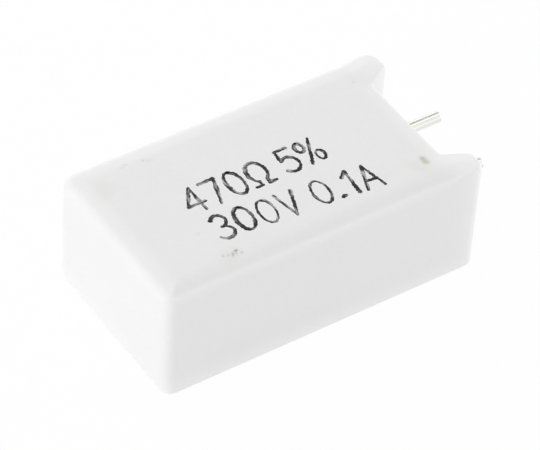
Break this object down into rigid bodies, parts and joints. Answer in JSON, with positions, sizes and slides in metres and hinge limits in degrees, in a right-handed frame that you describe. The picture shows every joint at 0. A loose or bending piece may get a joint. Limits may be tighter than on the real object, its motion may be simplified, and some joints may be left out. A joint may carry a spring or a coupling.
{
  "type": "cement resistor",
  "caption": "Upright cement resistor: a white pressed ceramic trough with standoff feet, filled with cement around a spiral film element, with round wire leads out of one end.",
  "frame": {"origin": "middle of the overall box, leads included, on the plane of the rim around the open back", "axes": "+X towards the tips of the leads, +Y to the side of the longer lead, +Z out of the printed face"},
  "size_m": [0.027, 0.0132, 0.0085],
  "materials": {
    "pressed_ceramic": "matte",
    "cured_cement": "matte",
    "rod_ceramic": "matte",
    "oxide_film": "satin",
    "cap_steel": "satin",
    "tinned_wire": "polished"
  },
  "bodies": {
    "root": {"ceramic_case": "pressed_ceramic", "cement_fill": "cured_cement", "core_rod": "rod_ceramic", "resistance_film": "oxide_film", "inner_end_cap": "cap_steel", "outer_end_cap": "cap_steel", "lead_straight": "tinned_wire", "lead_return": "tinned_wire"}
  },
  "joints": []
}
